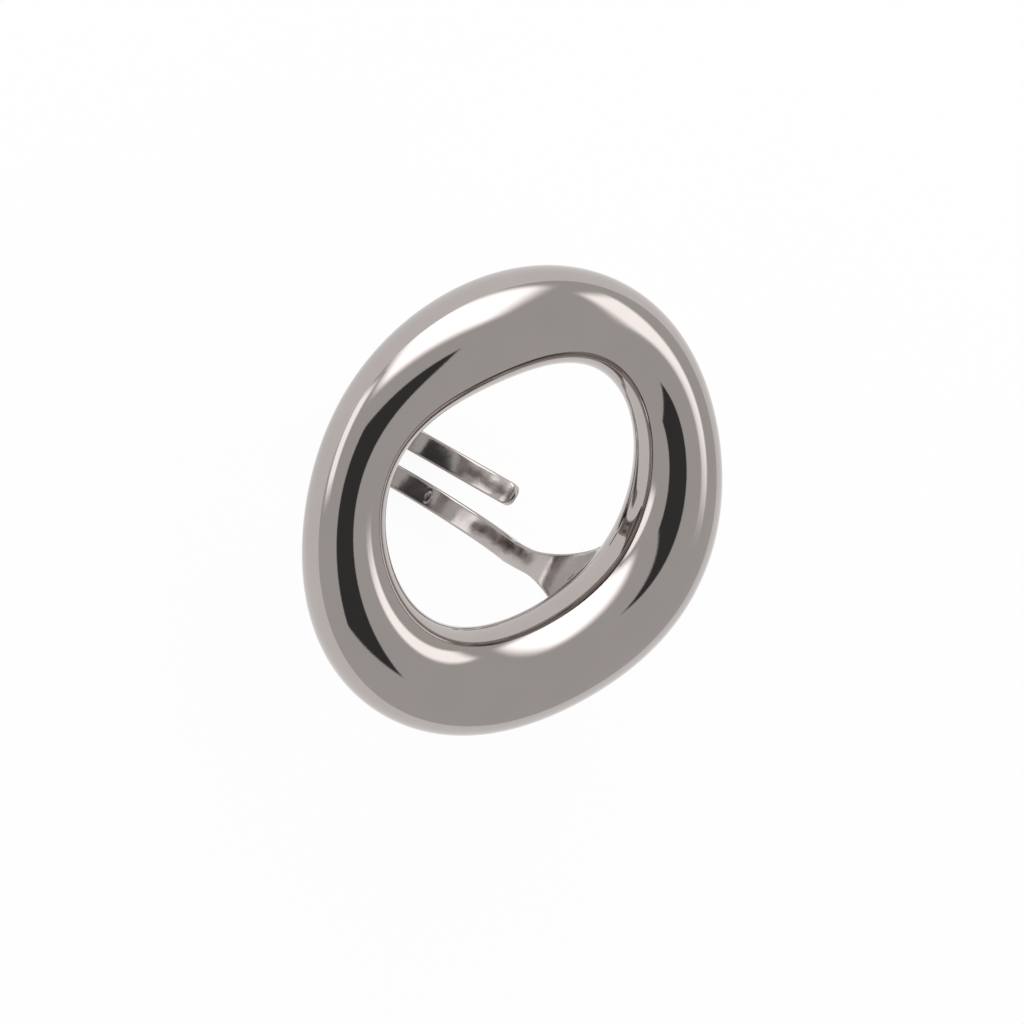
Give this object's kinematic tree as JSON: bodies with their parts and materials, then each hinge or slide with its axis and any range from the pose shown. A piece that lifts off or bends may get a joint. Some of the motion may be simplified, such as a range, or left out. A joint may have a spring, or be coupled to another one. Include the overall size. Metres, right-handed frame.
{
  "type": "open bypass finger ring",
  "caption": "Chunky hollow oval hoop ring, worn on an open shank of overlapping flat strip arms that flex to fit the finger.",
  "frame": {"origin": "on the axis of the finger opening, midway along it between the two arms of the shank", "axes": "+Y along the finger, +Z from the finger up to the hoop, +X to the side of the right foot"},
  "size_m": [0.0377, 0.0412, 0.0269],
  "materials": {
    "polished_silver": "mirror polished",
    "strip_silver": "polished over light hammer marks",
    "silver_solder": "polished"
  },
  "bodies": {
    "hoop": {"hoop_front_shell": "polished_silver", "hoop_back_shell": "polished_silver", "hoop_outer_seam": "silver_solder", "hoop_inner_seam": "silver_solder", "right_foot": "strip_silver", "left_foot": "strip_silver", "right_foot_solder": "silver_solder", "left_foot_solder": "silver_solder"},
    "right_arm": {"right_arm": "strip_silver"},
    "left_arm": {"left_arm": "strip_silver"}
  },
  "joints": [
    {"name": "right_arm_flex", "type": "hinge", "parent": "hoop", "child": "right_arm", "pos_m": [0.00906, -0.0021, 0.0016], "axis": [0, 1, 0], "range_deg": [-8, 4]},
    {"name": "left_arm_flex", "type": "hinge", "parent": "hoop", "child": "left_arm", "pos_m": [-0.00906, 0.0021, 0.0016], "axis": [0, 1, 0], "range_deg": [-4, 8]}
  ]
}
